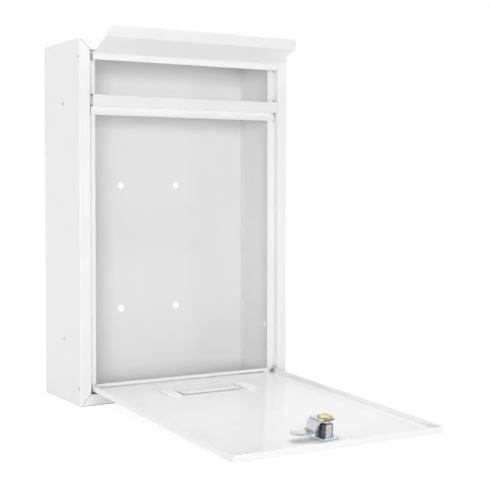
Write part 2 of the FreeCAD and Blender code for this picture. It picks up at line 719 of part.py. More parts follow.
def build_screw():
    """Domed cross-recess screw in the plug's tail, clamping the cam."""
    rim = lock_cylinder("screw_rim", "cam_top", "screw_head_radius", "screw_rim_height")
    dome = cone("screw_dome", ("lock_offset", "cam_top + screw_rim_height", "lock_height"),
                ("screw_head_radius", "screw_dome_radius"), "screw_dome_height")
    shank = lock_cylinder("screw_shank", "tail_end - screw_length + screw_fit", "screw_radius",
                          "screw_length + tail_recess")
    head_top = "cam_top + screw_rim_height + screw_dome_height"
    recess = []
    for name, across, along in (("level", "screw_recess_length", "screw_recess_width"),
                                ("upright", "screw_recess_width", "screw_recess_length")):
        recess.append(lock_box(f"screw_recess_{name}", across, along, f"{head_top} - screw_recess_depth",
                               "screw_recess_depth + cut_margin"))
    hang_on_door(cut("screw", fuse("screw_solid", [rim, dome, shank]), recess), "cam_screw")


build_shell()
build_back()
build_crossbar()
build_flap()
build_pin("flap_pin_left", "-", "flap_pivot_level", "flap_gap_left")
build_pin("flap_pin_right", "+", "flap_pivot_level", "flap_gap_right")
build_door()
build_pin("door_pin_left", "-", "door_pivot_level", "door_gap")
build_pin("door_pin_right", "+", "door_pivot_level", "door_gap")
build_name_holder()
build_name_card()
build_housing()
build_nut()
build_plug()
build_cam()
build_screw()
for wafer_number in range(4):
    build_wafer(wafer_number)
    build_spring(wafer_number)

doc.recompute()
for item in doc.Objects:
    if "Invalid" in item.State or "Error" in item.State:
        raise RuntimeError(f"{item.Name} failed: {item.State}")
for item in sub_parts:
    if item.Shape.isNull() or not item.Shape.isValid():
        raise RuntimeError(f"{item.Label} has no valid shape")

os.makedirs("parts", exist_ok=True)
for item in sub_parts:
    item.Shape.exportStep(f"parts/{item.Label}.step")
    print(item.Label, len(item.Shape.Solids), round(item.Shape.Volume, 2))
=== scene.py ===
import json
import math

import bmesh
import bpy
from mathutils import Matrix, Vector


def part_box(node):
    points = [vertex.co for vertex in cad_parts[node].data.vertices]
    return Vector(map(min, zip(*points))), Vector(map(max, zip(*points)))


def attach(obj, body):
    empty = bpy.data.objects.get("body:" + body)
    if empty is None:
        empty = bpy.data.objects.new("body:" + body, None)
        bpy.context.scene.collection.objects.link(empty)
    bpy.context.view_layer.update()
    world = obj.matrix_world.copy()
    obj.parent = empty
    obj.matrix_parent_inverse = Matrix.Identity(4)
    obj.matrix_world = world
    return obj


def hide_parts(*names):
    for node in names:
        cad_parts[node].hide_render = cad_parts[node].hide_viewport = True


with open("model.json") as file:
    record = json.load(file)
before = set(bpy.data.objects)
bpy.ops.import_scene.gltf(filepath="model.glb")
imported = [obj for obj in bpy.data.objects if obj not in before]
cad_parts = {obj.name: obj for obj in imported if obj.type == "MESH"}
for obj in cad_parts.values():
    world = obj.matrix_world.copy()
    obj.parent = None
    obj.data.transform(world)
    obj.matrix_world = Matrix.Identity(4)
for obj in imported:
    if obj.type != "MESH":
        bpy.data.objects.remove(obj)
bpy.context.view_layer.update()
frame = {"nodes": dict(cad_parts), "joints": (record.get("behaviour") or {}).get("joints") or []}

NODES = frame["nodes"]
JOINTS = {joint["name"]: joint for joint in frame["joints"]}
MM = 0.001
QUARTER = math.pi / 2

# Door and lock, in millimetres, in the door's own directions:
# x across the door, y inwards from its inner face, z from the hinge to the free edge.
# The inner face itself is measured inwards from the joints' own places.
DOOR_INSIDE = -2.4
SHEET = 0.8

# Lock barrel
BARREL_RADIUS = 6.9
BARREL_FLAT = 6.0
BARREL_LENGTH = 12.0
BARREL_CHAMFER = 0.6
BARREL_END_RADIUS = 5.8
FLAT_FACING = 0.99
THREAD_PITCH = 1.25
THREAD_DEPTH = 0.5
THREAD_SLOPE = 1.35
BORE_RADIUS = 4.06
GROOVE_REACH = 4.5
GROOVE_HALF_WIDTH = 2.1
GROOVE_START = 0.5
GROOVE_END = 8.5
SEAT_RADIUS = 5.26
SEAT_DEPTH = 1.16
SEAT_CHAMFER_DEPTH = 0.15
SEAT_CHAMFER_WIDTH = 0.2
COLLAR_RADIUS = 9.0
COLLAR_HEIGHT = 1.3
COLLAR_ROUND = 1.5
COLLAR_STRAIGHT = 0.15

# Nut, with its turn in degrees
NUT_HALF = 8.4
NUT_HEIGHT = 2.2
NUT_TURN = 10.0
NUT_CHAMFER = 0.35
NUT_CORNER = 0.9
NUT_HOLE = 6.95
NUT_HOLE_CHAMFER = 0.5

# Cam
CAM_GAUGE = 1.6
CAM_TOP = 16.5
CAM_HALF_WIDTH = 7.5
CAM_SHOULDER = 9.1
CAM_FOOT = 13.1
CAM_FOOT_LOW = 6.1
CAM_REACH = 30.0
CAM_BEND = 1.6
CAM_EDGE = 0.25
CAM_END_HALF_WIDTH = 0.3
TONGUE_HALF_WIDTH = 6.5
NOSE_EDGE = 6.5
EDGE_FACING = 0.5

# Screw
SCREW_RADIUS = 5.8
SCREW_HEIGHT = 2.2
SCREW_RIM = 0.7
SCREW_EDGE = 0.25
SCREW_POINT = 0.4
SCREW_SHANK_RADIUS = 1.9
SCREW_SHANK_LENGTH = 6.0
RECESS_REACH = 2.8
RECESS_FLOOR_REACH = 1.6
RECESS_DEPTH = 1.4
RECESS_CLEAR = 3.3
RECESS_SHARES = (1 / 3, 2 / 3, 1.0)

# Name holder
NAME_OFFSET = -1.3
NAME_HEIGHT = 44.0
NAME_HALF_LENGTH = 44.0
NAME_HALF_WIDTH = 12.5
NAME_THICKNESS = 1.2
NAME_CHAMFER = 0.3
NAME_GAP = 0.08
NAME_CORNER = 1.5
PANE_HALF_LENGTH = 29.0
PANE_HALF_WIDTH = 7.0
RIB_HALF_LENGTH = 25.5
RIB_HALF_WIDTH = 0.8
RIB_HEIGHT = 0.6
RIB_RISE = 6.5
RIB_EDGE = 0.2
PAD_LENGTH = 11.0
PAD_HEIGHT = 0.3
PAD_EDGE = 0.15
TRIM_SUNK = 0.05

# Fineness of the meshes
ROUND_STEPS = 144
CORNER_STEPS = 6
COLLAR_STEPS = 6
THREAD_STEPS = 7
DOME_STEPS = 10
CAM_END_STEPS = 26
CAM_CRANK_STEPS = 4
CAM_BEND_STEPS = 10
RECESS_ARM_STEPS = 5
RECESS_ARM = math.tan(math.tau * RECESS_ARM_STEPS / ROUND_STEPS)
SAME_PLACE = 0.001
SMALLEST_SINE = 0.001
SMOOTH_ANGLE = math.radians(32)

# Materials: the part of a noise that a colour and a roughness are spread over
EVEN = (1.0, 1.0, 1.0)
COLOUR_SPREAD = (0.35, 0.65)
ROUGHNESS_SPREAD = (0.3, 0.7)
PAINT_IOR = 1.5
PLASTIC_IOR = 1.49
CLEAR_ALPHA = 0.14
CARD_SPECULAR = 0.3

# Painted shade in narrow gaps: how far across a gap counts, in metres,
# the openness between which the colour darkens, and the share of the colour that is left at the darkest
GAP_REACH = 0.006
GAP_OPEN = 0.42
GAP_SHUT = 0.22
GAP_DARKEST = 0.12
GAP_SAMPLES = 8

# Studio, in metres: the floor's size and brightness, the light all round,
# and the dark side, which sets in between two cosines of the angle from its direction
FLOOR_HALF = 8.0
FLOOR_DROP = 0.0002
FLOOR_BOUNCE = 0.90
FLOOR_SEEN = 0.14
FLOOR_GLOW = 0.92
FLOOR_NEAR = 0.35
FLOOR_FAR = 0.9
AMBIENT = 0.19
DARK_SIDE = (-0.44, -0.88, -0.17)
DARK_LEVEL = 0.18
DARK_START = 0.62
DARK_FULL = 0.92
LIGHT_TARGET = Vector((0.0, -0.08, 0.02))

# Camera, in metres and radians, and the photograph's principal point in pixels
CAMERA_PLACE = Vector((-0.49015, -1.00159, 0.05805))
CAMERA_YAW = 0.540
CAMERA_PITCH = 0.030
IMAGE_SIZE = 490.0
FOCAL_PIXELS = 1125.26
PRINCIPAL_X = 244.2
PRINCIPAL_Y = 221.18
SENSOR_WIDTH = 36.0


# Materials

def shader(name):
    """A new material with its Principled shader."""
    material = bpy.data.materials.new(name)
    material.use_nodes = True
    return material, material.node_tree.nodes["Principled BSDF"]


def noise(material, scale, detail=2.0, stretch=EVEN):
    """A noise texture on the object's own coordinates, stretched along each axis."""
    nodes, links = material.node_tree.nodes, material.node_tree.links
    coordinates = nodes.new("ShaderNodeTexCoord")
    mapping = nodes.new("ShaderNodeMapping")
    mapping.inputs["Scale"].default_value = stretch
    texture = nodes.new("ShaderNodeTexNoise")
    texture.inputs["Scale"].default_value = scale
    texture.inputs["Detail"].default_value = detail
    links.new(coordinates.outputs["Object"], mapping.inputs["Vector"])
    links.new(mapping.outputs["Vector"], texture.inputs["Vector"])
    return texture


def vary_colour(material, texture, low, high):
    """Base colour that drifts between two colours with a texture."""
    nodes, links = material.node_tree.nodes, material.node_tree.links
    ramp = nodes.new("ShaderNodeValToRGB")
    for element, position, colour in zip(ramp.color_ramp.elements, COLOUR_SPREAD, (low, high)):
        element.position = position
        element.color = (*colour, 1.0)
    links.new(texture.outputs["Fac"], ramp.inputs["Fac"])
    links.new(ramp.outputs["Color"], nodes["Principled BSDF"].inputs["Base Color"])


def vary_roughness(material, texture, low, high):
    """Roughness that drifts between two values with a texture."""
    nodes, links = material.node_tree.nodes, material.node_tree.links
    spread = nodes.new("ShaderNodeMapRange")
    spread.inputs["From Min"].default_value = ROUGHNESS_SPREAD[0]
    spread.inputs["From Max"].default_value = ROUGHNESS_SPREAD[1]
    spread.inputs["To Min"].default_value = low
    spread.inputs["To Max"].default_value = high
    links.new(texture.outputs["Fac"], spread.inputs["Value"])
    links.new(spread.outputs["Result"], nodes["Principled BSDF"].inputs["Roughness"])


def raise_bump(material, texture, strength, distance):
    """Fine unevenness of the surface that follows a texture."""
    nodes, links = material.node_tree.nodes, material.node_tree.links
    bump = nodes.new("ShaderNodeBump")
    bump.inputs["Strength"].default_value = strength
    bump.inputs["Distance"].default_value = distance
    links.new(texture.outputs["Fac"], bump.inputs["Height"])
    links.new(bump.outputs["Normal"], nodes["Principled BSDF"].inputs["Normal"])


def shade_gaps_in_colour(material):
    """Painted shade: the base colour darkens by ambient occlusion in narrow gaps and where pieces meet.
    """
    nodes, links = material.node_tree.nodes, material.node_tree.links
    colour = nodes["Principled BSDF"].inputs["Base Color"]
    gaps = nodes.new("ShaderNodeAmbientOcclusion")
    gaps.samples = GAP_SAMPLES
    gaps.inputs["Distance"].default_value = GAP_REACH
    gap_shade = nodes.new("ShaderNodeMapRange")
    gap_shade.inputs["From Min"].default_value = GAP_SHUT
    gap_shade.inputs["From Max"].default_value = GAP_OPEN
    gap_shade.inputs["To Min"].default_value = GAP_DARKEST
    links.new(gaps.outputs["AO"], gap_shade.inputs["Value"])
    shaded_colour = nodes.new("ShaderNodeVectorMath")
    shaded_colour.operation = "SCALE"
    links.new(colour.links[0].from_socket, shaded_colour.inputs["Vector"])
    links.new(gap_shade.outputs["Result"], shaded_colour.inputs["Scale"])
    links.new(shaded_colour.outputs["Vector"], colour)


def paint_material(name):
    """Glossy white powder paint with a faint orange peel."""
    material, principled = shader(name)
    principled.inputs["IOR"].default_value = PAINT_IOR
    vary_colour(material, noise(material, scale=14.0),
                low=(0.912, 0.909, 0.913), high=(0.932, 0.928, 0.929))
    vary_roughness(material, noise(material, scale=60.0), low=0.10, high=0.16)
    raise_bump(material, noise(material, scale=420.0, detail=3.0), strength=0.06, distance=0.0002)
    return material


def metal_material(name, low, high, roughness, drift=180.0, stretch=EVEN):
    """Bare or plated metal, with a drifting colour and a fine grain."""
    material, principled = shader(name)
    principled.inputs["Metallic"].default_value = 1.0
    vary_colour(material, noise(material, drift, detail=3.0), low, high)
    vary_roughness(material, noise(material, scale=400.0, detail=3.0), *roughness)
    grain = noise(material, scale=900.0, detail=4.0, stretch=stretch)
    raise_bump(material, grain, strength=0.08, distance=0.0001)
    return material


def clear_material():
    """Clear moulded plastic with a slightly uneven surface, thin enough to be seen through unbent."""
    material, principled = shader("clear_moulded_plastic")
    principled.inputs["Alpha"].default_value = CLEAR_ALPHA
    principled.inputs["IOR"].default_value = PLASTIC_IOR
    vary_colour(material, noise(material, scale=30.0), low=(0.90, 0.91, 0.92), high=(0.95, 0.96, 0.96))
    vary_roughness(material, noise(material, scale=120.0), low=0.05, high=0.10)
    raise_bump(material, noise(material, scale=60.0), strength=0.02, distance=0.0002)
    return material


def milky_material():
    """The same plastic where the moulding is thicker and frosted."""
    material, principled = shader("frosted_moulded_plastic")
    principled.inputs["IOR"].default_value = PLASTIC_IOR
    vary_colour(material, noise(material, scale=60.0), low=(0.97, 0.97, 0.96), high=(0.99, 0.99, 0.98))
    vary_roughness(material, noise(material, scale=150.0), low=0.32, high=0.42)
    raise_bump(material, noise(material, scale=300.0), strength=0.02, distance=0.0001)
    return material


def card_material():
    """White paper card with a faint fibre."""
    material, principled = shader("white_paper_card")
    principled.inputs["Specular IOR Level"].default_value = CARD_SPECULAR
    fibre = noise(material, scale=700.0, detail=6.0, stretch=(1.0, 1.0, 0.3))
    vary_colour(material, fibre, low=(0.90, 0.90, 0.89), high=(0.94, 0.94, 0.93))
    vary_roughness(material, noise(material, scale=500.0), low=0.7, high=0.85)
    raise_bump(material, noise(material, scale=1500.0, detail=5.0), strength=0.15, distance=0.0001)
    return material


PAINT = paint_material("white_gloss_paint")
# The case's paint carries painted shade, darker in narrow gaps and between pieces.
CASE_PAINT_GAP_SHADE = paint_material("white_gloss_case_paint_with_painted_gap_shade")
shade_gaps_in_colour(CASE_PAINT_GAP_SHADE)
PIN_STEEL = metal_material(
    "drawn_steel", low=(0.42, 0.42, 0.43), high=(0.55, 0.55, 0.56),
    roughness=(0.28, 0.42), stretch=(0.1, 1.0, 1.0))
# Zinc coloured far darker than the metal is: partly its cast finish, partly painted shade and dark
# reflection.
CAST_ZINC_AND_PAINTED_DARK = metal_material(
    "die_cast_zinc_and_painted_dark", low=(0.20, 0.20, 0.21), high=(0.34, 0.34, 0.35), roughness=(0.22, 0.36))
FLAT_ZINC = metal_material(
    "machined_zinc", low=(0.78, 0.78, 0.79), high=(0.90, 0.90, 0.91), roughness=(0.20, 0.32))
NUT_ZINC = metal_material(
    "blue_zinc_plate", low=(0.66, 0.78, 0.86), high=(0.84, 0.91, 0.95),
    roughness=(0.20, 0.34), drift=90.0)
CAM_ZINC = metal_material(
    "clear_zinc_plate", low=(0.64, 0.65, 0.71), high=(0.84, 0.83, 0.76),
    roughness=(0.16, 0.28), drift=60.0)
# Near-black metal for the cam's nose edge: painted shade under the screw head.
NOSE_EDGE_SHADE = metal_material(
    "cam_nose_edge_painted_shade", low=(0.10, 0.09, 0.09), high=(0.20, 0.18, 0.17), roughness=(0.30, 0.45))
SCREW_BRASS = metal_material(
    "yellow_zinc_plate", low=(0.60, 0.50, 0.17), high=(0.90, 0.82, 0.50), roughness=(0.12, 0.24))
PLUG_NICKEL = metal_material(
    "nickel_plate", low=(0.55, 0.54, 0.52), high=(0.68, 0.67, 0.65), roughness=(0.14, 0.26))
SPRING_STEEL = metal_material(
    "spring_wire", low=(0.48, 0.48, 0.50), high=(0.60, 0.60, 0.62), roughness=(0.20, 0.34))
CLEAR = clear_material()
MILKY = milky_material()
CARD = card_material()


# Mesh building: the door's own x, y and z as directions of the row frame

ACROSS = Vector((1.0, 0.0, 0.0))
INWARDS = Vector(JOINTS["lock_turn"]["axis"]).normalized()
ALONG = ACROSS.cross(INWARDS)


def door_place(origin):
    """Matrix from millimetres above the door's inner face, at an origin, to the row frame."""
    turn = Matrix((ACROSS, INWARDS, ALONG)).transposed().to_4x4()
    return Matrix.Translation(origin + INWARDS * DOOR_INSIDE * MM) @ turn @ Matrix.Scale(MM, 4)


LOCK_PLACE = door_place(Vector(JOINTS["lock_turn"]["pos_m"]))
NAME_PLACE = door_place(Vector(JOINTS["door_hinge"]["pos_m"])
                        + ACROSS * NAME_OFFSET * MM + ALONG * NAME_HEIGHT * MM)


def add_rings(build, rings, closed=False):
    """Join rings of points, each with the same count, into a skin, closed on itself or capped."""
    rows = [[build.verts.new(point) for point in ring] for ring in rings]
    pairs = list(zip(rows, rows[1:]))
    if closed:
        pairs.append((rows[-1], rows[0]))
    count = len(rows[0])
    for first, second in pairs:
        for step in range(count):
            after = (step + 1) % count
            build.faces.new((first[step], first[after], second[after], second[step]))
    if not closed:
        build.faces.new(reversed(rows[0]))
        build.faces.new(rows[-1])


def finish_piece(name, build, place, material):
    """Turn a finished skin into an object in the row frame."""
    bmesh.ops.recalc_face_normals(build, faces=build.faces)
    mesh = bpy.data.meshes.new(name)
    build.to_mesh(mesh)
    build.free()
    mesh.transform(place)
    mesh.shade_smooth()
    mesh.set_sharp_from_angle(angle=SMOOTH_ANGLE)
    mesh.materials.append(material)
    piece = bpy.data.objects.new(name, mesh)
    bpy.context.scene.collection.objects.link(piece)
    return piece


def stands_for(piece, node, body):
    """The piece replaces a node and moves with its body."""
    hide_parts(node)
    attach(piece, body)


def polar_ring(lift, radius_at):
    """A ring round the lock's axis whose radius follows the angle."""
    ring = []
    for step in range(ROUND_STEPS):
        angle = math.tau * step / ROUND_STEPS
        radius = radius_at(angle)
        ring.append((radius * math.cos(angle), lift, radius * math.sin(angle)))
    return ring


def round_ring(lift, radius):
    """A circle round the lock's axis."""
    return polar_ring(lift, lambda angle: radius)


def cross_radius(angle, reach, half):
    """Outline of a cross with four arms of a given reach and half width."""
    radius = 0.0
    for turn in range(4):
        arm = angle - turn * QUARTER
        along, aside = math.cos(arm), abs(math.sin(arm))
        if along > 0.0:
            radius = max(radius, min(reach / along, half / max(aside, SMALLEST_SINE)))
    return radius


# Lock barrel

def grooved_radius(angle):
    """Outline of the barrel's bore with the four grooves that the wafers slide out into."""
    return max(BORE_RADIUS, cross_radius(angle, GROOVE_REACH, GROOVE_HALF_WIDTH))


def threaded_radius(angle, lift):
    """Outside of the barrel: a thread on the round sides, cut off by two flats."""
    turn = (lift / THREAD_PITCH - angle / math.tau) % 1.0
    ridge = min(1.0, THREAD_SLOPE * abs(2.0 * turn - 1.0))
    flat = BARREL_FLAT / max(abs(math.sin(angle)), SMALLEST_SINE)
    return min(BARREL_RADIUS - THREAD_DEPTH * ridge, flat)


def bore_rings(front):
    """Inside of the barrel, from its inner end to the plug's seat in the collar."""
    return [
        round_ring(BARREL_LENGTH, BORE_RADIUS),
        round_ring(GROOVE_END, BORE_RADIUS),
        polar_ring(GROOVE_END, grooved_radius),
        polar_ring(GROOVE_START, grooved_radius),
        round_ring(GROOVE_START, BORE_RADIUS),
        round_ring(front + SEAT_DEPTH, BORE_RADIUS),
        round_ring(front + SEAT_DEPTH, SEAT_RADIUS),
        round_ring(front + SEAT_CHAMFER_DEPTH, SEAT_RADIUS),
        round_ring(front, SEAT_RADIUS + SEAT_CHAMFER_WIDTH),
    ]


def collar_rings(front):
    """The collar's face and rounded edge."""
    rings = []
    for step in range(COLLAR_STEPS + 1):
        angle = QUARTER * step / COLLAR_STEPS
        lift = front + (1.0 - math.cos(angle)) * (COLLAR_HEIGHT - COLLAR_STRAIGHT)
        rings.append(round_ring(lift, COLLAR_RADIUS - COLLAR_ROUND + COLLAR_ROUND * math.sin(angle)))
    return rings


def thread_rings(outside):
    """Outside of the barrel, from the collar to the inner end."""
    rings = []
    lift = outside
    while lift < BARREL_LENGTH - BARREL_CHAMFER:
        rings.append(polar_ring(lift, lambda angle, at=lift: threaded_radius(angle, at)))
        lift += THREAD_PITCH / THREAD_STEPS
    rings.append(round_ring(BARREL_LENGTH, BARREL_END_RADIUS))
    return rings


def build_barrel():
    """Lock barrel with its thread, flats, collar and grooved bore."""
    outside = -SHEET
    front = outside - COLLAR_HEIGHT
    rings = bore_rings(front) + collar_rings(front)
    rings.append(round_ring(outside, COLLAR_RADIUS))
    rings += thread_rings(outside)
    build = bmesh.new()
    add_rings(build, rings, closed=True)
    bmesh.ops.remove_doubles(build, verts=build.verts, dist=SAME_PLACE)
    piece = finish_piece("threaded_lock_barrel", build, LOCK_PLACE, CAST_ZINC_AND_PAINTED_DARK)
    mark_flats(piece.data)
    stands_for(piece, "lock_housing", "door")


def mark_flats(mesh):
    """The barrel's flats and its collar take the paler zinc. The thread stays far darker, partly from
    its cast finish and partly from painted shade and dark reflection.
    """
    mesh.materials.append(FLAT_ZINC)
    for face in mesh.polygons:
        lift = (face.center - LOCK_PLACE.translation).dot(INWARDS) / MM
        if abs(face.normal.dot(ALONG)) > FLAT_FACING or lift < 0.0:
            face.material_index = 1


# Nut

def square_radius(angle, half):
    """Outline of a square with rounded corners, turned like the nut."""
    turned = angle + math.radians(NUT_TURN)
    cosine, sine = abs(math.cos(turned)), abs(math.sin(turned))
    larger, smaller = max(cosine, sine), min(cosine, sine)
    inner = half - NUT_CORNER
    if half * smaller <= inner * larger:
        return half / larger
    reach = inner * (cosine + sine)
    return reach + math.sqrt(max(reach * reach - 2 * inner * inner + NUT_CORNER * NUT_CORNER, 0.0))


def nut_ring(lift, inset):
    """A ring round the nut, inside its outline by an inset."""
    return polar_ring(lift, lambda angle: square_radius(angle, NUT_HALF - inset))


def build_nut():
    """Square sheet nut with broken edges and a chamfered hole."""
    rings = [
        round_ring(0.0, NUT_HOLE),
        nut_ring(0.0, NUT_CHAMFER),
        nut_ring(NUT_CHAMFER, 0.0),
        nut_ring(NUT_HEIGHT - NUT_CHAMFER, 0.0),
        nut_ring(NUT_HEIGHT, NUT_CHAMFER),
        round_ring(NUT_HEIGHT, NUT_HOLE + NUT_HOLE_CHAMFER),
        round_ring(NUT_HEIGHT - NUT_HOLE_CHAMFER, NUT_HOLE),
    ]
    build = bmesh.new()
    add_rings(build, rings, closed=True)
    piece = finish_piece("square_lock_nut", build, LOCK_PLACE, NUT_ZINC)
    stands_for(piece, "lock_nut", "door")


# Cam

def evenly(share):
    """Even steps."""
    return share


def fine_at_start(share):
    """Steps that are finer near the start."""
    return 1.0 - math.cos(share * QUARTER)


def fine_at_end(share):
    """Steps that are finer near the end."""
    return math.sin(share * QUARTER)


def line_points(start, end, steps, spacing):
    """Points from one end of a straight line to the other."""
    return [start.lerp(end, spacing(step / steps)) for step in range(steps + 1)]


def cam_bend(before, corner, after):
    """Start, end and centre of the round bend at a corner of the cam's middle line."""
    back = (before - corner).normalized()
    ahead = (after - corner).normalized()
    half_turn = back.angle(ahead) / 2
    setback = CAM_BEND / math.tan(half_turn)
    centre = corner + (back + ahead).normalized() * CAM_BEND / math.sin(half_turn)
    return corner + back * setback, corner + ahead * setback, centre


def bend_points(start, end, centre):
    """Points on a bend, between its start and its end."""
    first, last = start - centre, end - centre
    return [centre + first.slerp(last, step / CAM_BEND_STEPS) for step in range(1, CAM_BEND_STEPS)]


def cam_points():
    """Points of the cam's middle line as (x, lift), from its nose to its tip."""
    middle = CAM_GAUGE / 2
    nose = Vector((CAM_HALF_WIDTH, CAM_TOP - middle))
    shoulder = Vector((-CAM_SHOULDER, CAM_TOP - middle))
    foot = Vector((-CAM_FOOT, CAM_FOOT_LOW + middle))
    tip = Vector((-CAM_REACH, CAM_FOOT_LOW + middle))
    upper = cam_bend(nose, shoulder, foot)
    lower = cam_bend(shoulder, foot, tip)
    points = line_points(nose, upper[0], CAM_END_STEPS, fine_at_start)
    points += bend_points(*upper)
    points += line_points(upper[1], lower[0], CAM_CRANK_STEPS, evenly)
    points += bend_points(*lower)
    points += line_points(lower[1], tip, CAM_END_STEPS, fine_at_end)
    return points


def cam_half_width(x):
    """Half the cam's width: a round nose on the axis, a plate, and a tongue with a round tip."""
    if x > 0.0:
        return math.sqrt(max(CAM_HALF_WIDTH ** 2 - x * x, 0.0))
    tip = -CAM_REACH + TONGUE_HALF_WIDTH
    if x < tip:
        return math.sqrt(max(TONGUE_HALF_WIDTH ** 2 - (x - tip) ** 2, 0.0))
    blend = min(max((-x - CAM_SHOULDER) / (CAM_FOOT - CAM_SHOULDER), 0.0), 1.0)
    return CAM_HALF_WIDTH + (TONGUE_HALF_WIDTH - CAM_HALF_WIDTH) * blend


def cam_section(half):
    """Section across the cam as (side, height over its middle), with broken edges."""
    middle = CAM_GAUGE / 2
    flat, wall = half - CAM_EDGE, middle - CAM_EDGE
    return ((-flat, -middle), (flat, -middle), (half, -wall), (half, wall),
            (flat, middle), (-flat, middle), (-half, wall), (-half, -wall))


def build_cam():
    """Cranked strip with rounded bends, from its round nose under the screw to its tongue."""
    points = cam_points()
    rings = []
    for index, point in enumerate(points):
        ahead = points[min(index + 1, len(points) - 1)]
        back = points[max(index - 1, 0)]
        direction = (ahead - back).normalized()
        section = cam_section(max(cam_half_width(point.x), CAM_END_HALF_WIDTH))
        rings.append([(point.x - direction.y * height, point.y + direction.x * height, side)
                      for side, height in section])
    build = bmesh.new()
    add_rings(build, rings)
    piece = finish_piece("cranked_lock_cam", build, LOCK_PLACE, CAM_ZINC)
    shade_nose_edge(piece.data)
    stands_for(piece, "lock_cam", "plug")


def shade_nose_edge(mesh):
    """The sheared edge round the cam's flat end, under the screw head, is coloured near black: painted
    shade.
    """
    mesh.materials.append(NOSE_EDGE_SHADE)
    for face in mesh.polygons:
        beside = (face.center - LOCK_PLACE.translation).dot(ACROSS) / MM
        if beside > -NOSE_EDGE and abs(face.normal.dot(INWARDS)) < EDGE_FACING:
            face.material_index = 1


# Screw

def recess_radius(angle, reach):
    """Outline of the screw's cross recess, whose inner corners fall on the steps of a ring."""
    return cross_radius(angle, reach, reach * RECESS_ARM)


def recess_side(angle, share):
    """Radius a share of the way from the clear part of the dome to the recess."""
    return RECESS_CLEAR + (recess_radius(angle, RECESS_REACH) - RECESS_CLEAR) * share


def dome_ring(radius_at):
    """A ring on the screw's dome whose radius follows the angle."""
    ring = []
    for step in range(ROUND_STEPS):
        angle = math.tau * step / ROUND_STEPS
        radius = radius_at(angle)
        rise = (SCREW_HEIGHT - SCREW_RIM) * math.sqrt(1.0 - (radius / SCREW_RADIUS) ** 2)
        ring.append((radius * math.cos(angle), CAM_TOP + SCREW_RIM + rise, radius * math.sin(angle)))
    return ring


def build_screw():
    """Domed screw head with a cross recess, and its shank."""
    rings = [
        round_ring(CAM_TOP - SCREW_SHANK_LENGTH, SCREW_SHANK_RADIUS - SCREW_POINT),
        round_ring(CAM_TOP - SCREW_SHANK_LENGTH + SCREW_POINT, SCREW_SHANK_RADIUS),
        round_ring(CAM_TOP, SCREW_SHANK_RADIUS),
        round_ring(CAM_TOP, SCREW_RADIUS - SCREW_EDGE),
        round_ring(CAM_TOP + SCREW_EDGE, SCREW_RADIUS),
    ]
    slope = math.acos(RECESS_CLEAR / SCREW_RADIUS)
    for step in range(DOME_STEPS + 1):
        radius = SCREW_RADIUS * math.cos(slope * step / DOME_STEPS)
        rings.append(dome_ring(lambda angle, at=radius: at))
    for share in RECESS_SHARES:
        rings.append(dome_ring(lambda angle, part=share: recess_side(angle, part)))
    floor = CAM_TOP + SCREW_HEIGHT - RECESS_DEPTH
    rings.append(polar_ring(floor, lambda angle: recess_radius(angle, RECESS_FLOOR_REACH)))
    build = bmesh.new()
    add_rings(build, rings)
    piece = finish_piece("domed_cam_screw", build, LOCK_PLACE, SCREW_BRASS)
    stands_for(piece, "cam_screw", "plug")


# Name holder

def rounded_rectangle(lift, low, high, corner):
    """A ring round a rectangle given by two of its corners, with rounded corners."""
    ring = []
    centres = ((high[0] - corner, high[1] - corner), (low[0] + corner, high[1] - corner),
               (low[0] + corner, low[1] + corner), (high[0] - corner, low[1] + corner))
    for quarter, (x, z) in enumerate(centres):
        for step in range(CORNER_STEPS + 1):
            angle = QUARTER * (quarter + step / CORNER_STEPS)
            ring.append((x + corner * math.cos(angle), lift, z + corner * math.sin(angle)))
    return ring


def block_rings(low, high, base, top, edge, corner):
    """Rings of a low block with a broken upper edge."""
    inner_low = (low[0] + edge, low[1] + edge)
    inner_high = (high[0] - edge, high[1] - edge)
    return [
        rounded_rectangle(base, low, high, corner),
        rounded_rectangle(top - edge, low, high, corner),
        rounded_rectangle(top, inner_low, inner_high, corner - edge),
    ]


def build_name_holder():
    """Clear flat moulding whose pane fills the door's opening."""
    pane_low = (-PANE_HALF_LENGTH, -PANE_HALF_WIDTH)
    pane_high = (PANE_HALF_LENGTH, PANE_HALF_WIDTH)
    plate_low = (-NAME_HALF_LENGTH, -NAME_HALF_WIDTH)
    plate_high = (NAME_HALF_LENGTH, NAME_HALF_WIDTH)
    rings = [
        rounded_rectangle(-SHEET, pane_low, pane_high, NAME_CHAMFER),
        rounded_rectangle(NAME_GAP, pane_low, pane_high, NAME_CHAMFER),
    ]
    rings += block_rings(plate_low, plate_high, NAME_GAP, NAME_THICKNESS, NAME_CHAMFER, NAME_CORNER)
    build = bmesh.new()
    add_rings(build, rings)
    piece = finish_piece("clear_name_holder", build, NAME_PLACE, CLEAR)
    stands_for(piece, "name_holder", "door")


def build_name_trim():
    """Frosted rib on the back of the name holder, and the frosted pads that stand through its ends."""
    build = bmesh.new()
    rib_low = (-RIB_HALF_LENGTH, RIB_RISE - RIB_HALF_WIDTH)
    rib_high = (RIB_HALF_LENGTH, RIB_RISE + RIB_HALF_WIDTH)
    rib_base = NAME_THICKNESS - TRIM_SUNK
    rib_top = NAME_THICKNESS + RIB_HEIGHT
    add_rings(build, block_rings(rib_low, rib_high, rib_base, rib_top, RIB_EDGE, RIB_HALF_WIDTH))
    half = NAME_HALF_WIDTH - NAME_CHAMFER
    end = NAME_HALF_LENGTH - NAME_CHAMFER
    start = NAME_HALF_LENGTH - PAD_LENGTH
    pad_top = NAME_THICKNESS + PAD_HEIGHT
    for low, high in (((-end, -half), (-start, half)), ((start, -half), (end, half))):
        add_rings(build, block_rings(low, high, NAME_GAP, pad_top, PAD_EDGE, NAME_CORNER))
    piece = finish_piece("name_holder_rib_and_pads", build, NAME_PLACE, MILKY)
    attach(piece, "door")


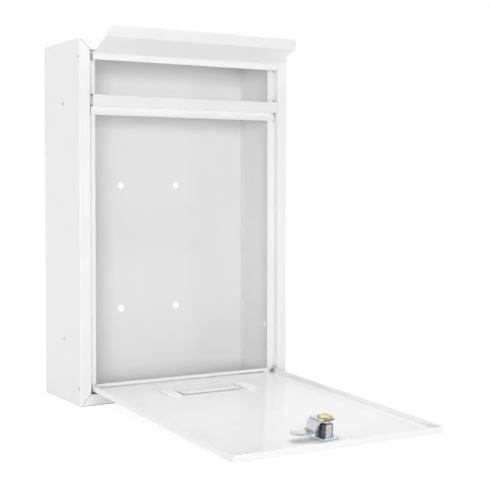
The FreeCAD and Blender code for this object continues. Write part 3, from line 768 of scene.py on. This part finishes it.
def dress_nodes():
    """Finish of the nodes that keep their own shape."""
    wafers = range(1, 5)
    finishes = {
        PAINT: ["back_panel", "flap", "door_panel"],
        # body_shell and crossbar take the paint with painted shade in its gaps.
        CASE_PAINT_GAP_SHADE: ["body_shell", "crossbar"],
        PIN_STEEL: ["flap_pin_left", "flap_pin_right", "door_pin_left", "door_pin_right"],
        PLUG_NICKEL: ["lock_plug"],
        CARD: ["name_card"],
        SCREW_BRASS: [f"lock_wafer_{number}" for number in wafers],
        SPRING_STEEL: [f"wafer_spring_{number}" for number in wafers],
    }
    for material, names in finishes.items():
        for name in names:
            NODES[name].data.materials.clear()
            NODES[name].data.materials.append(material)


# Studio

def either(nodes, links, *sockets):
    """Socket that is 1 where any of the given sockets is 1."""
    result = sockets[0]
    for socket in sockets[1:]:
        larger = nodes.new("ShaderNodeMath")
        larger.operation = "MAXIMUM"
        links.new(result, larger.inputs[0])
        links.new(socket, larger.inputs[1])
        result = larger.outputs["Value"]
    return result


def background(nodes, strength=1.0):
    """White light from all round."""
    node = nodes.new("ShaderNodeBackground")
    node.inputs["Color"].default_value = (1.0, 1.0, 1.0, 1.0)
    node.inputs["Strength"].default_value = strength
    return node


def grey_diffuse(nodes, level):
    """Matt grey surface."""
    node = nodes.new("ShaderNodeBsdfDiffuse")
    node.inputs["Color"].default_value = (level, level, level, 1.0)
    return node


def smooth_range(nodes, links, socket, start, end, low, high):
    """Socket that goes smoothly from a low to a high value while another goes from start to end."""
    level = nodes.new("ShaderNodeMapRange")
    level.interpolation_type = "SMOOTHSTEP"
    level.inputs["From Min"].default_value = start
    level.inputs["From Max"].default_value = end
    level.inputs["To Min"].default_value = low
    level.inputs["To Max"].default_value = high
    links.new(socket, level.inputs["Value"])
    return level.outputs["Result"]


def mix_shaders(nodes, links, factor, first, second):
    """Shader that is the first where the factor is 0 and the second where it is 1."""
    mix = nodes.new("ShaderNodeMixShader")
    links.new(factor, mix.inputs["Fac"])
    links.new(first, mix.inputs[1])
    links.new(second, mix.inputs[2])
    return mix.outputs["Shader"]


def build_world():
    """Studio: white where it is seen, lower where it lights, reflected darker on the camera's side."""
    world = bpy.data.worlds.new("studio")
    world.use_nodes = True
    nodes, links = world.node_tree.nodes, world.node_tree.links
    nodes.remove(nodes["Background"])
    path = nodes.new("ShaderNodeLightPath")
    coordinates = nodes.new("ShaderNodeTexCoord")
    towards = nodes.new("ShaderNodeVectorMath")
    towards.operation = "DOT_PRODUCT"
    towards.inputs[1].default_value = Vector(DARK_SIDE).normalized()
    links.new(coordinates.outputs["Generated"], towards.inputs[0])
    level = smooth_range(nodes, links, towards.outputs["Value"], DARK_START, DARK_FULL, 1.0, DARK_LEVEL)
    light = background(nodes, AMBIENT)
    reflected = background(nodes)
    seen = background(nodes)
    links.new(level, reflected.inputs["Strength"])
    lighting = mix_shaders(nodes, links, path.outputs["Is Glossy Ray"],
                           light.outputs["Background"], reflected.outputs["Background"])
    direct = either(nodes, links, path.outputs["Is Camera Ray"], path.outputs["Is Transmission Ray"])
    whole = mix_shaders(nodes, links, direct, lighting, seen.outputs["Background"])
    links.new(whole, nodes["World Output"].inputs["Surface"])
    bpy.context.scene.world = world


def floor_material():
    """Pale floor that shows white and keeps a soft shadow."""
    material = bpy.data.materials.new("pale_floor")
    material.use_nodes = True
    nodes, links = material.node_tree.nodes, material.node_tree.links
    nodes.remove(nodes["Principled BSDF"])
    bounce = grey_diffuse(nodes, FLOOR_BOUNCE)
    shown = grey_diffuse(nodes, FLOOR_SEEN)
    glow = nodes.new("ShaderNodeEmission")
    coordinates = nodes.new("ShaderNodeTexCoord")
    away = nodes.new("ShaderNodeVectorMath")
    away.operation = "LENGTH"
    links.new(coordinates.outputs["Object"], away.inputs[0])
    level = smooth_range(nodes, links, away.outputs["Value"], FLOOR_NEAR, FLOOR_FAR, FLOOR_GLOW, 1.0)
    links.new(level, glow.inputs["Strength"])
    both = nodes.new("ShaderNodeAddShader")
    links.new(shown.outputs["BSDF"], both.inputs[0])
    links.new(glow.outputs["Emission"], both.inputs[1])
    path = nodes.new("ShaderNodeLightPath")
    direct = either(nodes, links, path.outputs["Is Camera Ray"], path.outputs["Is Glossy Ray"],
                    path.outputs["Is Transmission Ray"])
    whole = mix_shaders(nodes, links, direct, bounce.outputs["BSDF"], both.outputs["Shader"])
    links.new(whole, nodes["Material Output"].inputs["Surface"])
    return material


def build_floor():
    """Floor just below the box."""
    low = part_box("body_shell")[0].z
    build = bmesh.new()
    bmesh.ops.create_grid(build, x_segments=1, y_segments=1, size=FLOOR_HALF)
    place = Matrix.Translation((0.0, 0.0, low - FLOOR_DROP))
    floor = finish_piece("floor", build, place, floor_material())


def area_light(name, place, size, power):
    """A soft box that faces the object and stays out of the metal's reflections."""
    data = bpy.data.lights.new(name, "AREA")
    data.shape = "RECTANGLE"
    data.size, data.size_y = size
    data.energy = power
    lamp = bpy.data.objects.new(name, data)
    lamp.location = place
    lamp.rotation_euler = (LIGHT_TARGET - Vector(place)).to_track_quat("-Z", "Y").to_euler()
    lamp.visible_glossy = False
    bpy.context.scene.collection.objects.link(lamp)


def build_lights():
    """Soft light from the camera's side, from the rear left and from above."""
    area_light("front_softbox", place=(-1.40, -2.78, 0.20), size=(0.9, 0.64), power=37.0)
    area_light("rear_left_softbox", place=(-1.6, 0.9, 0.40), size=(1.0, 0.9), power=6.0)
    area_light("top_softbox", place=(0.0, -0.8, 4.50), size=(5.0, 4.0), power=173.0)


def build_camera():
    """Camera that takes the photograph's view."""
    data = bpy.data.cameras.new("camera")
    data.sensor_fit = "HORIZONTAL"
    data.sensor_width = SENSOR_WIDTH
    data.lens = SENSOR_WIDTH * FOCAL_PIXELS / IMAGE_SIZE
    data.shift_x = (IMAGE_SIZE / 2 - PRINCIPAL_X) / IMAGE_SIZE
    data.shift_y = (PRINCIPAL_Y - IMAGE_SIZE / 2) / IMAGE_SIZE
    camera = bpy.data.objects.new("camera", data)
    camera.location = CAMERA_PLACE
    camera.rotation_euler = (QUARTER - CAMERA_PITCH, 0.0, -CAMERA_YAW)
    bpy.context.scene.collection.objects.link(camera)
    bpy.context.scene.camera = camera


build_barrel()
build_nut()
build_cam()
build_screw()
build_name_holder()
build_name_trim()
dress_nodes()
build_world()
build_floor()
build_lights()
build_camera()
bpy.context.scene.view_settings.view_transform = "Standard"
